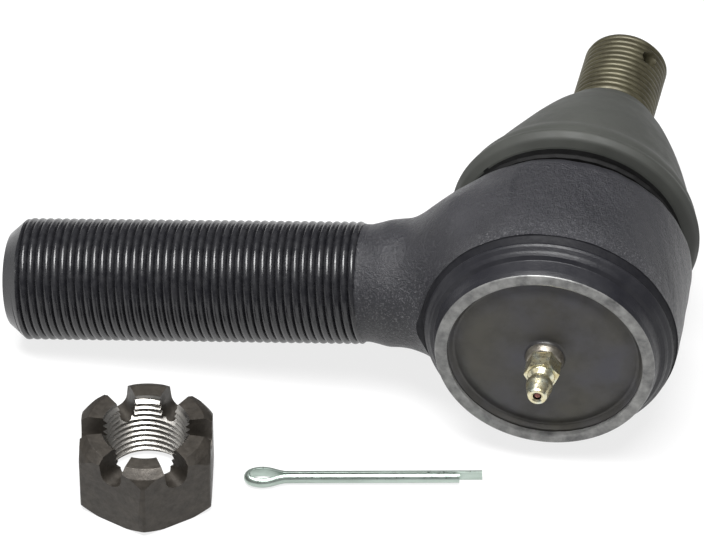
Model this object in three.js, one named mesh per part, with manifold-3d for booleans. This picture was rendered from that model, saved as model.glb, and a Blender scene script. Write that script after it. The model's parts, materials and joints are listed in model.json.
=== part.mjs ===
// Heavy tie rod end lying on its side, with its castle nut and cotter pin beside it.
// Millimetres, +Z up. The socket is drawn in its own frame, where z is the bore axis
// pointing out along the stud, -x is the shank and the ball centre is the origin.
import * as THREE from 'three'
import { mergeVertices } from 'three/addons/utils/BufferGeometryUtils.js'
import Module from 'manifold-3d'

const wasm = await Module()
wasm.setup()

const GAP = 0.3                      // clearance between neighbouring pieces
const DEG = Math.PI / 180
const ROUND = 48                     // sides of the large turned shapes
const SMALL_ROUND = 32

// socket
const BALL_R = 17.5
const BORE_R = 24.4
const BARREL_R = 32.9
const BARREL_TOP = 13.4              // shoulder that the boot stands over
const BARREL_LOW = -18.7             // where the barrel turns in towards the cover
const COLLAR_IN_R = 24
const COLLAR_OUT_R = 26.5
const COLLAR_TOP = 16.5
const SHOULDER_CUT_R = 34.2
const MOUTH_LOW = 10.2               // underside of the flange that holds the upper bearing
const MOUTH_R = 16.6
const MOUTH_TOP_R = 18.8
const LIP_FACE = -29.45              // rolled lip over the cover plate
const LIP_OUT_R = 27.9
const LIP_IN_R = 25
const LIP_THICK = 1.1
const COVER_R = 26.2
const COVER_THICK = 2.6

// shank, with its thread's outside diameter drawn plain
const SHANK_R = 15.875
const RELIEF_R = 15.2
const THREAD_START = 54
const THREAD_END = 140
const SHANK_END = 144.4
const SHANK_END_R = 12.3

// stud, measured from the ball centre along its own axis
const NECK_R = 10.3
const TAPER_START = 24
const TAPER_END = 58
const TAPER_BIG_R = 14.3
const TAPER_SMALL_R = 12.2
const STUD_R = 11.11
const STUD_END = 88
const COTTER_HOLE_R = 1.9
const COTTER_HOLE_AT = 81.5
const COTTER_HOLE_TURN = -41.7 * DEG

// how the parts lie
const STUD_TILT = 5.2 * DEG          // stud axis leans this far from the bore axis
const STUD_LEANS_TOWARD = -28 * DEG  // direction of that lean in the socket's xy plane
const TIP = 2 * DEG                  // bore axis dips this far towards the stud
const NUT_AT = [-98.2, -54.6]        // nut and pin centres on the table, from the ball centre
const NUT_TURN = 37.8 * DEG
const PIN_AT = [-43.9, -45.3]
const PIN_TURN = 9 * DEG

// nut and pin
const NUT_FLATS = 33.3
const NUT_HEIGHT = 20.2
const NUT_BORE_R = 10.4
const SLOT_WIDTH = 5.4
const SLOT_DEPTH = 7
const PIN_WIRE_R = 1.5
const PIN_LENGTH = 61
const PIN_SHORT_BY = 5.9             // one leg is shorter
const PIN_EYE_LENGTH = 9.5
const PIN_EYE_HALF = 3.2
const PIN_SLIT = 0.3                 // between the two legs

// ---------- solids ----------

function solid(geometry) {
  const bare = geometry.clone()
  bare.deleteAttribute('normal')
  bare.deleteAttribute('uv')
  const merged = mergeVertices(bare, 1e-4)
  const index = merged.index.array
  const triangles = []
  for (let i = 0; i < index.length; i += 3) {
    const [a, b, c] = [index[i], index[i + 1], index[i + 2]]
    if (a !== b && b !== c && c !== a) triangles.push(a, b, c)
  }
  const points = merged.attributes.position.array
  if (volume(points, triangles) < 0) triangles.reverse()
  return new wasm.Manifold(new wasm.Mesh({
    numProp: 3,
    vertProperties: Float32Array.from(points),
    triVerts: Uint32Array.from(triangles),
  }))
}

function volume(points, triangles) {
  const corner = [new THREE.Vector3(), new THREE.Vector3(), new THREE.Vector3()]
  let total = 0
  for (let i = 0; i < triangles.length; i += 3) {
    corner.forEach((v, k) => v.fromArray(points, triangles[i + k] * 3))
    total += corner[0].dot(corner[1].clone().cross(corner[2]))
  }
  return total
}

function toGeometry(body) {
  const made = body.getMesh()
  const geometry = new THREE.BufferGeometry()
  geometry.setAttribute('position', new THREE.BufferAttribute(Float32Array.from(made.vertProperties), 3))
  geometry.setIndex(Array.from(made.triVerts))
  geometry.computeVertexNormals()
  return geometry
}

// closed solid of revolution about z from [radius, z] pairs
function turned(profile, segments = SMALL_ROUND) {
  const points = profile.map(([r, z]) => new THREE.Vector2(r, z))
  const closes = profile[0][0] > 0 || profile.at(-1)[0] > 0
  if (closes) points.push(points[0].clone())
  return solid(new THREE.LatheGeometry(points, segments).rotateX(Math.PI / 2))
}

// [radius, z] points round an arc in the profile plane, angles from +r towards +z
function arc(centreR, centreZ, radius, from, to, steps) {
  return Array.from({ length: steps + 1 }, (_, i) => {
    const angle = (from + (to - from) * i / steps) * DEG
    return [centreR + radius * Math.cos(angle), centreZ + radius * Math.sin(angle)]
  })
}

function box(width, depth, height, x, y, z) {
  return solid(new THREE.BoxGeometry(width, depth, height).translate(x, y, z))
}

function hexagon(acrossFlats) {
  const shape = new THREE.Shape()
  const cornerR = acrossFlats / Math.sqrt(3)
  for (let k = 0; k < 6; k++) {
    const angle = k * 60 * DEG
    shape.lineTo(cornerR * Math.cos(angle), cornerR * Math.sin(angle))
  }
  shape.curves.shift()
  shape.closePath()
  return shape
}

function prism(shape, height) {
  return solid(new THREE.ExtrudeGeometry(shape, { depth: height, bevelEnabled: false }))
}

function piece(name, body, colour, roughness, metalness) {
  const material = new THREE.MeshStandardMaterial({ color: colour, roughness, metalness })
  const mesh = new THREE.Mesh(toGeometry(body), material)
  mesh.name = name
  return mesh
}

// ---------- socket pieces ----------

function barrelOutside() {
  return turned([
    [0, BARREL_TOP], [COLLAR_IN_R, BARREL_TOP], [COLLAR_IN_R, COLLAR_TOP], [COLLAR_OUT_R, COLLAR_TOP],
    [COLLAR_OUT_R, BARREL_TOP], ...arc(BARREL_R - 4, BARREL_TOP - 4, 4, 90, 0, 5),
    [BARREL_R, BARREL_LOW], [BARREL_R - 1.2, BARREL_LOW - 2.5], [BARREL_R - 2.2, BARREL_LOW - 3.1],
    [BARREL_R - 2.6, BARREL_LOW - 4.7], [LIP_OUT_R + 1, BARREL_LOW - 5.6], [LIP_OUT_R + 0.7, LIP_FACE + 1.2],
    [LIP_OUT_R, LIP_FACE], [0, LIP_FACE],
  ], ROUND)
}

function boreInside() {
  const seatLow = LIP_FACE + LIP_THICK
  const seatTop = seatLow + COVER_THICK + GAP
  return turned([
    [0, LIP_FACE - 1], [LIP_IN_R, LIP_FACE - 1], [LIP_IN_R, seatLow], [COVER_R + GAP, seatLow],
    [COVER_R + GAP, seatTop], [BORE_R, seatTop], [BORE_R, MOUTH_LOW], [MOUTH_R, MOUTH_LOW],
    [MOUTH_TOP_R, BARREL_TOP + 0.05], [COLLAR_IN_R - 0.05, BARREL_TOP + 0.05],
    [COLLAR_IN_R - 0.05, COLLAR_TOP + 1], [0, COLLAR_TOP + 1],
  ], ROUND)
}

// the machined shoulder cuts the forged neck back round the collar
function shoulderCut() {
  const above = COLLAR_TOP + 8
  return turned([
    [COLLAR_IN_R, COLLAR_TOP], [COLLAR_OUT_R, COLLAR_TOP], [COLLAR_OUT_R, BARREL_TOP],
    [SHOULDER_CUT_R, BARREL_TOP], [SHOULDER_CUT_R + 0.8, above], [COLLAR_IN_R, above],
  ], ROUND)
}

function shank() {
  const bar = turned([
    [0, 20], [RELIEF_R, 20], [RELIEF_R, THREAD_START - 1], [SHANK_R, THREAD_START],
    [SHANK_R, THREAD_END], [SHANK_END_R, SHANK_END], [0, SHANK_END],
  ])
  return bar.rotate([0, -90, 0])
}

// forged neck: rounded sections that fan out from the shank into the barrel
function neck() {
  const sections = [      // distance from the ball, half width across the bore, half height along it
    [50, 15.2, 15.2], [44, 16.5, 16.2], [39, 17.1, 16.6], [36, 18.8, 16.9],
    [33, 21, 17.1], [30, 23.6, 17.2], [26, 26.2, 16.8], [20, 28, 16], [12, 28, 15],
  ]
  const around = 32
  const positions = []
  for (const [at, wide, high] of sections) {
    for (let k = 0; k < around; k++) {
      const angle = k * 2 * Math.PI / around
      positions.push(-at, wide * Math.cos(angle), high * Math.sin(angle))
    }
  }
  const firstCap = positions.length / 3
  positions.push(-sections[0][0], 0, 0, -sections.at(-1)[0], 0, 0)
  const index = []
  for (let k = 0; k < around; k++) {
    const next = (k + 1) % around
    for (let row = 0; row + 1 < sections.length; row++) {
      const [a, b, c, d] = [row * around + k, row * around + next, (row + 1) * around + k, (row + 1) * around + next]
      index.push(a, c, b, b, c, d)
    }
    const last = (sections.length - 1) * around
    index.push(firstCap, k, next, firstCap + 1, last + next, last + k)
  }
  const geometry = new THREE.BufferGeometry()
  geometry.setAttribute('position', new THREE.Float32BufferAttribute(positions, 3))
  geometry.setIndex(index)
  return solid(geometry)
}

function housing() {
  const body = barrelOutside().add(neck()).add(shank()).subtract(boreInside()).subtract(shoulderCut())
  return piece('tie_rod_housing', body, 0x1c1c20, 0.5, 0.4)
}

function upperBearing() {
  const r = BALL_R + GAP
  const body = turned([
    ...arc(0, 0, r, 2, 25, 3), [MOUTH_R + 0.4, MOUTH_LOW - GAP], [BORE_R - GAP, MOUTH_LOW - GAP],
    [BORE_R - GAP, 0.6],
  ])
  return piece('upper_bearing', body, 0xd8d2c0, 0.6, 0)
}

function lowerBearing() {
  const r = BALL_R + GAP
  const body = turned([
    ...arc(0, 0, r, -2, -72, 6), [5.5, -18.8], [17, -18.8], [BORE_R - 0.5, -13], [BORE_R - 0.5, -0.6],
  ])
  return piece('lower_bearing', body, 0xd8d2c0, 0.6, 0)
}

// flat-wound conical spring between the lower bearing and the cover plate
function preloadSpring() {
  const wireR = 1.1
  const low = LIP_FACE + LIP_THICK + COVER_THICK + GAP + wireR
  const high = -18.8 - GAP - wireR
  const turns = 2.2
  const points = Array.from({ length: 45 }, (_, i) => {
    const s = i / 44
    const angle = s * turns * 2 * Math.PI
    const r = 18 - 6 * s
    return new THREE.Vector3(r * Math.cos(angle), r * Math.sin(angle), low + (high - low) * s)
  })
  return piece('preload_spring', wire(points, wireR, 40, 6), 0x8a8c90, 0.35, 0.9)
}

function wire(points, radius, steps, sides) {
  const shape = new THREE.Shape()
  for (let k = 0; k < sides; k++) {
    const angle = k * 2 * Math.PI / sides
    shape.lineTo(radius * Math.cos(angle), radius * Math.sin(angle))
  }
  shape.curves.shift()
  shape.closePath()
  const extrudePath = new THREE.CatmullRomCurve3(points)
  return solid(new THREE.ExtrudeGeometry(shape, { steps, extrudePath, bevelEnabled: false }))
}

const FITTING_HOLE_R = 3.5
const COVER_FACE = LIP_FACE + 1.7    // flat middle of the cover plate

function coverPlate() {
  const rimLow = LIP_FACE + LIP_THICK + 0.15
  const body = turned([
    [FITTING_HOLE_R, COVER_FACE - 0.9], [4.6, COVER_FACE - 0.9], [5.4, COVER_FACE], [19.5, COVER_FACE],
    [22.5, COVER_FACE + 0.5], [24.2, rimLow + 0.4], [COVER_R, rimLow], [COVER_R, rimLow + COVER_THICK - 0.2],
    [22, rimLow + COVER_THICK - 0.2], [FITTING_HOLE_R, COVER_FACE + 2.4],
  ], ROUND)
  return piece('cover_plate', body, 0x3a3a3e, 0.45, 0.6)
}

// grease fitting on the cover's centre, pointing away from the stud
const FITTING_NOSE = -43.4
const HEX_LOW = COVER_FACE - 1.2
const HEX_END = HEX_LOW - 4.6
const CHECK_BALL_R = 1.35

function greaseFitting() {
  const body = turned([
    [0, -22.6], [FITTING_HOLE_R - GAP, -22.6], [FITTING_HOLE_R - GAP, HEX_LOW], [3.9, HEX_LOW],
    [3.9, HEX_END], [3.1, HEX_END - 0.5], [2.5, HEX_END - 1.2], [2.5, HEX_END - 2.6],
    [3.35, HEX_END - 3.6], [3.35, HEX_END - 5.6], [2.4, FITTING_NOSE], [0, FITTING_NOSE],
  ], 20)
  const hex = prism(hexagon(8), HEX_LOW - HEX_END).translate([0, 0, HEX_END])
  const passage = turned([
    [0, FITTING_NOSE - 1], [1.1, FITTING_NOSE - 1], [1.1, FITTING_NOSE + 0.5], [1.75, FITTING_NOSE + 1.2],
    [1.75, FITTING_NOSE + 8], [1, FITTING_NOSE + 8.8], [1, -21], [0, -21],
  ], 12)
  return piece('grease_fitting', body.add(hex).subtract(passage), 0xb9b08c, 0.35, 0.85)
}

const CHECK_BALL_AT = FITTING_NOSE + 1.8

function checkBall() {
  const body = turned(arc(0, CHECK_BALL_AT, CHECK_BALL_R, -90, 90, 6), 12)
  return piece('grease_check_ball', body, 0x7a4a38, 0.4, 0.6)
}

function checkSpring() {
  const wireR = 0.2
  const low = CHECK_BALL_AT + CHECK_BALL_R + wireR + 0.15
  const high = FITTING_NOSE + 8 - wireR - 0.15
  const turns = 3.5
  const points = Array.from({ length: 43 }, (_, i) => {
    const angle = i / 42 * turns * 2 * Math.PI
    return new THREE.Vector3(1.2 * Math.cos(angle), 1.2 * Math.sin(angle), low + (high - low) * i / 42)
  })
  return piece('grease_check_spring', wire(points, wireR, 36, 5), 0x8a8c90, 0.35, 0.9)
}

// ---------- stud and boot ----------

function ballStud() {
  const neckMeets = Math.acos(NECK_R / BALL_R) / DEG
  const body = turned([
    ...arc(0, 0, BALL_R, -90, neckMeets, 12), [NECK_R, TAPER_START - 5.5], [TAPER_BIG_R, TAPER_START],
    [TAPER_SMALL_R, TAPER_END], [STUD_R - 0.7, TAPER_END + 0.6], [STUD_R - 0.7, TAPER_END + 1.8],
    [STUD_R, TAPER_END + 2.4], [STUD_R, STUD_END - 1.6], [STUD_R - 1.6, STUD_END], [0, STUD_END],
  ], 36)
  const hole = solid(new THREE.CylinderGeometry(COTTER_HOLE_R, COTTER_HOLE_R, 40, 16).rotateZ(Math.PI / 2))
    .rotate([0, 0, COTTER_HOLE_TURN / DEG]).translate([0, 0, COTTER_HOLE_AT])
  return piece('ball_stud', body.subtract(hole), 0x5a564c, 0.5, 0.6)
}

// outside and inside of the rubber boot as [radius, distance along the stud]
const BOOT_BASE = 14.2
const BOOT_TOP = 62.8
const BOOT_OUTSIDE = [
  [28.6, BOOT_BASE], [28.2, 15.4], [28.2, 17], [28.8, 18.6], [29.6, 19.8], [31.6, 21], [32.7, 22.6],
  [32.2, 24.5], [31.4, 26.8], [29.3, 30.8], [27.1, 35.8], [24.4, 41.8], [21.2, 48.8], [18.9, 53],
  [17.2, 56.4], [15.2, 59.6], [13, 62], [12.2, BOOT_TOP],
]
const BOOT_INSIDE = [
  [11.5, BOOT_TOP], [11.5, 60.5], [12.6, 58.4], [13.4, 54], [17.4, 48], [21, 40.4], [23.6, 34.6], [25.8, 29.6],
  [28, 25.4], [28.4, 23.2], [27.2, 20.8], [26.2, 18.4], [COLLAR_OUT_R + GAP, 17.2], [COLLAR_OUT_R + GAP, BOOT_BASE],
]

// the boot's base sits square on the housing, and its upper part leans with the stud
function leanAt(height) {
  const smooth = THREE.MathUtils.smoothstep
  return STUD_TILT * (0.6 * smooth(height, COLLAR_TOP + 0.9, 22) + 0.4 * smooth(height, 22, 45))
}

function dustBoot() {
  const points = [...BOOT_OUTSIDE, ...BOOT_INSIDE, BOOT_OUTSIDE[0]].map(([r, z]) => new THREE.Vector2(r, z))
  const geometry = new THREE.LatheGeometry(points, 36).rotateX(Math.PI / 2)
  const place = geometry.attributes.position
  const leanAxis = new THREE.Vector3(-Math.sin(STUD_LEANS_TOWARD), Math.cos(STUD_LEANS_TOWARD), 0)
  const point = new THREE.Vector3()
  for (let i = 0; i < place.count; i++) {
    point.fromBufferAttribute(place, i)
    point.applyAxisAngle(leanAxis, leanAt(point.z))
    place.setXYZ(i, point.x, point.y, point.z)
  }
  return piece('dust_boot', solid(geometry), 0x3c3e3a, 0.75, 0)
}

function bootRing() {
  const section = arc(28.2 + GAP + 0.9, 16.2, 0.9, 0, 300, 5)
  return piece('boot_retaining_ring', turned(section, 36), 0x6a6c70, 0.4, 0.9)
}

// ---------- nut and pin ----------

function castleNut() {
  const cornerR = NUT_FLATS / Math.sqrt(3)
  const blank = prism(hexagon(NUT_FLATS), NUT_HEIGHT)
  const chamfered = turned([
    [0, 0], [NUT_FLATS / 2 + 0.3, 0], [cornerR + 0.2, 1.6], [cornerR + 0.2, NUT_HEIGHT - 3.4],
    [NUT_FLATS / 2 - 1.2, NUT_HEIGHT], [0, NUT_HEIGHT],
  ])
  const bore = turned([
    [0, -1], [NUT_BORE_R + 2.1, -1], [NUT_BORE_R, 1.1], [NUT_BORE_R, NUT_HEIGHT - 0.7],
    [NUT_BORE_R + 1.7, NUT_HEIGHT + 1], [0, NUT_HEIGHT + 1],
  ])
  let body = blank.intersect(chamfered).subtract(bore)
  const slotFloor = NUT_HEIGHT - SLOT_DEPTH
  const slotR = SLOT_WIDTH / 2
  for (let k = 0; k < 3; k++) {
    const turn = 30 + 60 * k
    const round = solid(new THREE.CylinderGeometry(slotR, slotR, 50, 14).rotateZ(Math.PI / 2))
      .translate([0, 0, slotFloor + slotR])
    const open = box(50, SLOT_WIDTH, SLOT_DEPTH, 0, 0, slotFloor + slotR + SLOT_DEPTH / 2)
    body = body.subtract(round.add(open).rotate([0, 0, turn]))
  }
  return piece('castle_nut', body, 0x4a443c, 0.5, 0.7)
}

// half-round wire folded back on itself, flat sides together
function cotterHalfSection() {
  const shape = new THREE.Shape()
  const steps = 6
  for (let k = 0; k <= steps; k++) {
    const angle = (k / steps - 0.5) * Math.PI
    const [x, y] = [PIN_WIRE_R * Math.sin(angle), -PIN_WIRE_R * Math.cos(angle)]
    if (k) shape.lineTo(x, y)
    else shape.moveTo(x, y)
  }
  shape.closePath()
  return shape
}

function cotterPin() {
  const half = PIN_LENGTH / 2
  const inner = PIN_SLIT / 2
  const neckAt = -half + PIN_EYE_LENGTH
  const side = (sign, tip) => [
    [tip, sign * inner], [0, sign * inner], [neckAt + 3, sign * inner], [neckAt, sign * (inner + 0.25)],
    [neckAt - 3, sign * (PIN_EYE_HALF - PIN_WIRE_R - 0.25)], [neckAt - 5.2, sign * (PIN_EYE_HALF - PIN_WIRE_R)],
    [-half + PIN_WIRE_R + 0.7, sign * 1.1],
  ]
  const route = [...side(1, half), [-half + PIN_WIRE_R, 0], ...side(-1, half - PIN_SHORT_BY).reverse()]
  const path = new THREE.CatmullRomCurve3(route.map(([x, y]) => new THREE.Vector3(x, y, PIN_WIRE_R)))
  const options = { steps: 52, extrudePath: path, bevelEnabled: false }
  return piece('cotter_pin', solid(new THREE.ExtrudeGeometry(cotterHalfSection(), options)), 0x9a9c98, 0.35, 0.9)
}

// ---------- assembly ----------

const group = new THREE.Group()

// the barrel's edge and the shank's end rest on the table
const ballHeight = BARREL_R * Math.cos(TIP) + (BARREL_TOP - 4) * Math.sin(TIP)
const droop = Math.asin((ballHeight - SHANK_R * Math.cos(7 * DEG)) / THREAD_END)

const lying = new THREE.Group()
lying.position.z = ballHeight
lying.rotation.x = -TIP
const drooping = new THREE.Group()
drooping.rotation.y = -droop
const socket = new THREE.Group()
socket.rotation.x = -Math.PI / 2
group.add(lying)
lying.add(drooping)
drooping.add(socket)
socket.add(housing(), upperBearing(), lowerBearing(), preloadSpring(), coverPlate())
socket.add(greaseFitting(), checkBall(), checkSpring(), dustBoot(), bootRing())

const stud = new THREE.Group()
const leanAxis = new THREE.Vector3(-Math.sin(STUD_LEANS_TOWARD), Math.cos(STUD_LEANS_TOWARD), 0)
stud.setRotationFromAxisAngle(leanAxis, STUD_TILT)
stud.add(ballStud())
socket.add(stud)

const nut = castleNut()
nut.position.set(NUT_AT[0], NUT_AT[1], 0)
nut.rotation.z = NUT_TURN
const pin = cotterPin()
pin.position.set(PIN_AT[0], PIN_AT[1], 0)
pin.rotation.z = PIN_TURN
group.add(nut, pin)

// the origin is under the middle of everything, on the table
group.updateMatrixWorld(true)
const extent = new THREE.Box3().setFromObject(group, true)
const middle = extent.getCenter(new THREE.Vector3())
group.position.set(-middle.x, -middle.y, -extent.min.z)

export default group
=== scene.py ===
# Looks of the heavy tie rod end with its castle nut and cotter pin: fine meshes, materials, light.
# Sizes are in millimetres in the piece's own frame, and become metres when a mesh is made.
import json
import math

import bmesh
import bpy
import numpy as np
from mathutils import Matrix, Quaternion, Vector


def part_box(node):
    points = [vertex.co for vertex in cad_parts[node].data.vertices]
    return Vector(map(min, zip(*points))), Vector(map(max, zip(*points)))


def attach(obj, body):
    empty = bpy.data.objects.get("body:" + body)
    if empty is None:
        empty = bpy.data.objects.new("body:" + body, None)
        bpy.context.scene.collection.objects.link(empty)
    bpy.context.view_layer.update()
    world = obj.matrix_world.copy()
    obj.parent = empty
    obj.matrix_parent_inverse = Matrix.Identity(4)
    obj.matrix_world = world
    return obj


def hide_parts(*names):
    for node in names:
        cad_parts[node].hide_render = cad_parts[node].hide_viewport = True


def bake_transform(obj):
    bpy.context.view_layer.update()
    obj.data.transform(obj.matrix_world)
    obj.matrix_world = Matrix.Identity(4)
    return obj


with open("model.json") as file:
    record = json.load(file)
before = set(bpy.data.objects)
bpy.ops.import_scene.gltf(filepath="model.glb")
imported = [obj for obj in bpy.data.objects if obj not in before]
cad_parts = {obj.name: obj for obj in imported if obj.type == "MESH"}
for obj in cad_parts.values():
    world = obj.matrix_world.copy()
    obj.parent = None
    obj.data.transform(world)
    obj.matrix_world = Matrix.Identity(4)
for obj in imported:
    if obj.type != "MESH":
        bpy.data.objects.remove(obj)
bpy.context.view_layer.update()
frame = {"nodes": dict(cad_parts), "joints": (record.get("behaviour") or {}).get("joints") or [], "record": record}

MM = 0.001
TURN = 2 * math.pi
ROUND = 192                      # sides of the large turned shapes
SHARP = 32                       # edges steeper than this many degrees stay crisp

# barrel and cover end, as distances from the ball centre along the bore, stud side positive
BARREL_R = 33.1
BARREL_TOP = 13.4
COLLAR_IN_R, COLLAR_OUT_R, COLLAR_TOP = 24.7, 26.5, 16.5      # bored 0.7 mm wider than in the CAD
SHOULDER_CUT_R = 34.2
BORE_R = 24.4
MOUTH_LOW, MOUTH_R, MOUTH_TOP_R = 10.2, 17.6, 20.6            # opened 1.0 and 1.8 mm wider than there
LIP_EDGE, RECESS_R, RECESS_LOW, RECESS_HIGH = -28.75, 31.4, -21, -14
LIP_FACE, LIP_IN_R, LIP_THICK = -29.45, 25.0, 1.1
COVER_R, COVER_THICK = 26.2, 2.6
COVER_FACE = LIP_FACE + 1.7
GAP = 0.3

# shank, as distances from the ball centre
SHANK_R, SHANK_PITCH, SHANK_DEPTH = 15.875, 2.117, 1.1
RELIEF_R = 15.2
THREAD_START, THREAD_RUN_IN = 52.2, 1.6     # the CAD thread starts 1.8 mm later, at 54
SHANK_END, SHANK_END_R = 144.4, 12.3

# stud, as distances from the ball centre along its own axis
BALL_R, NECK_R = 17.5, 10.3
TAPER_START, TAPER_END, TAPER_BIG_R, TAPER_SMALL_R = 24.0, 58.0, 14.3, 12.2
STUD_R, STUD_PITCH, STUD_DEPTH = 11.11, 1.814, 0.8
STUD_END = 88.0
COTTER_HOLE_R, COTTER_HOLE_AT, COTTER_HOLE_TURN = 1.9, 81.5, math.radians(-41.7)

# boot
BOOT_BASE, BOOT_TOP = 14.2, 62.8
UNDERSIDE_TOP, UNDERSIDE_R = 19.9, 29.4

# nut and pin
NUT_FLATS, NUT_HEIGHT, NUT_BORE_R = 33.3, 20.2, 10.2
SLOT_DEPTH, SLOT_R, SLOT_SPREAD, SLOT_DRAFT = 7.0, 2.0, 0.16, 0.12
PIN_WIRE_R, PIN_LENGTH, PIN_SHORT_BY = 1.5, 61.0, 5.9
PIN_EYE_LENGTH, PIN_EYE_HALF, PIN_SLIT = 9.5, 3.2, 0.3


# ---------- frames ----------

joints = {joint["name"]: joint for joint in frame["joints"]}
mounts = {mount["name"]: mount for mount in frame["record"]["mounts"]}
ball = Vector(joints["stud_tilt"]["pos_m"])
bore_axis = Vector(joints["seat_turn"]["axis"]).normalized()
stud_axis = Vector(joints["stud_spin"]["axis"]).normalized()
shank_axis = Vector(mounts["shank_end_face"]["axis"]).normalized()


def axes_matrix(x, z, origin):
    """World matrix of a frame with these x and z directions."""
    y = z.cross(x).normalized()
    x = y.cross(z).normalized()
    return Matrix.Translation(origin) @ Matrix((x, y, z)).transposed().to_4x4()


socket_frame = axes_matrix(-shank_axis, bore_axis, ball)
lean = bore_axis.rotation_difference(stud_axis)
stud_frame = Matrix.Translation(ball) @ lean.to_matrix().to_4x4() @ Matrix.Translation(-ball) @ socket_frame


def middle_of(node):
    low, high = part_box(node)
    return (low + high) / 2


def node_points(node):
    return np.array([v.co for v in frame["nodes"][node].data.vertices])


def nut_frame():
    """The nut's own frame, turned so that x points at a corner of the CAD hexagon."""
    middle = middle_of("castle_nut")
    out = node_points("castle_nut") - np.array(middle)
    reach = np.hypot(out[:, 0], out[:, 1])
    corner = out[int(np.argmax(reach))]
    turn = math.atan2(corner[1], corner[0])
    return Matrix.Translation((middle.x, middle.y, 0)) @ Matrix.Rotation(turn, 4, "Z")


def pin_frame():
    """The pin's own frame, x along its legs towards their ends."""
    points = node_points("cotter_pin")
    flat = points[:, :2]
    middle = flat.mean(0)
    _, _, directions = np.linalg.svd(flat - middle)
    along = directions[0] * np.sign(directions[0][0])
    reach = (flat - middle) @ along
    across = np.array([-along[1], along[0]])
    side = (flat - middle) @ across
    centre = middle + along * (reach.max() - PIN_LENGTH * MM / 2) + across * (side.max() + side.min()) / 2
    turn = math.atan2(along[1], along[0])
    return Matrix.Translation((centre[0], centre[1], 0)) @ Matrix.Rotation(turn, 4, "Z")


# ---------- camera ----------

def aim_camera():
    azimuth, elevation = math.radians(9.02), math.radians(43.05)
    distance, right_of_view, below_view = 1.5403, 0.05328, 0.00278
    forward = Vector((
        -math.sin(azimuth) * math.cos(elevation),
        math.cos(azimuth) * math.cos(elevation),
        -math.sin(elevation),
    ))
    right = Vector((math.cos(azimuth), math.sin(azimuth), 0))
    up = right.cross(forward)
    place = ball - forward * distance - right * right_of_view + up * below_view
    data = bpy.data.cameras.new("camera")
    data.lens = 306.8
    data.sensor_width = 36
    data.clip_end = 20
    camera = bpy.data.objects.new("camera", data)
    camera.matrix_world = Matrix.Translation(place) @ Matrix((right, up, -forward)).transposed().to_4x4()
    bpy.context.collection.objects.link(camera)
    bpy.context.scene.camera = camera


aim_camera()


# ---------- mesh tools ----------

def make_object(name, points, faces, place, materials, sharp=35):
    mesh = bpy.data.meshes.new(name)
    mesh.from_pydata([tuple(p) for p in np.asarray(points) * MM], [], [tuple(f) for f in faces])
    mesh.validate()
    obj = bpy.data.objects.new(name, mesh)
    bpy.context.collection.objects.link(obj)
    obj.matrix_world = place
    for material in materials:
        mesh.materials.append(material)
    clean(obj)
    smooth(obj, sharp)
    return obj


def clean(obj, distance=0.002):
    """Merges doubled points, fills holes and turns the faces outward."""
    bm = bmesh.new()
    bm.from_mesh(obj.data)
    bmesh.ops.remove_doubles(bm, verts=bm.verts, dist=distance * MM)
    bmesh.ops.dissolve_degenerate(bm, edges=bm.edges, dist=distance * MM)
    open_edges = [e for e in bm.edges if e.is_boundary]
    if open_edges:
        bmesh.ops.holes_fill(bm, edges=open_edges, sides=0)
    bmesh.ops.recalc_face_normals(bm, faces=bm.faces)
    if bm.calc_volume(signed=True) < 0:
        bmesh.ops.reverse_faces(bm, faces=bm.faces)
    bm.to_mesh(obj.data)
    bm.free()


def smooth(obj, sharp):
    mesh = obj.data
    mesh.polygons.foreach_set("use_smooth", [True] * len(mesh.polygons))
    mesh.set_sharp_from_angle(angle=math.radians(sharp))


def square_up(obj):
    """Moves the piece's own axes onto the row frame's, without moving the piece."""
    obj.data.transform(obj.matrix_world)
    obj.matrix_world = Matrix()


def combine(obj, operation, *tools):
    """Boolean of obj with each tool in turn. The tools are used up."""
    for tool in tools:
        modifier = obj.modifiers.new("combine", "BOOLEAN")
        modifier.operation = operation
        modifier.solver = "MANIFOLD"
        modifier.object = tool
        bpy.context.view_layer.update()
        evaluated = obj.evaluated_get(bpy.context.evaluated_depsgraph_get())
        mesh = bpy.data.meshes.new_from_object(evaluated)
        if not len(mesh.polygons):
            raise RuntimeError(f"{operation} of {obj.name} with {tool.name} left nothing")
        obj.modifiers.clear()
        obj.data = mesh
        bpy.data.objects.remove(tool)
    return obj


def arc(centre_r, centre_z, radius, start, end, steps):
    """[radius, z] points round an arc, angles in degrees from +r towards +z."""
    angles = np.radians(np.linspace(start, end, steps + 1))
    return [(centre_r + radius * math.cos(a), centre_z + radius * math.sin(a)) for a in angles]


def rounded(corners, steps=5):
    """A profile whose corners given as (r, z, radius) become arcs."""
    points = []
    for i, corner in enumerate(corners):
        here = Vector(corner[:2])
        radius = corner[2] if len(corner) > 2 else 0
        if not radius or i in (0, len(corners) - 1):
            points.append(tuple(here))
            continue
        before = (Vector(corners[i - 1][:2]) - here).normalized()
        after = (Vector(corners[i + 1][:2]) - here).normalized()
        half = before.angle(after) / 2
        start = here + before * (radius / math.tan(half))
        end = here + after * (radius / math.tan(half))
        centre = here + (before + after).normalized() * (radius / math.sin(half))
        for k in range(steps + 1):
            along = start.lerp(end, k / steps) - centre
            points.append(tuple(centre + along.normalized() * radius))
    return points


def spline(points, per_span=8):
    """Smooth curve through the points (Catmull-Rom), as an array."""
    p = np.array(points, float)
    p = np.vstack([2 * p[0] - p[1], p, 2 * p[-1] - p[-2]])
    t = np.linspace(0, 1, per_span, endpoint=False)[:, None]
    spans = []
    for a, b, c, d in zip(p[:-3], p[1:-2], p[2:-1], p[3:]):
        squared = (2 * a - 5 * b + 4 * c - d) * t**2
        cubed = (3 * b - a - 3 * c + d) * t**3
        spans.append(0.5 * (2 * b + (c - a) * t + squared + cubed))
    return np.vstack([*spans, p[-2:-1]])


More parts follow.
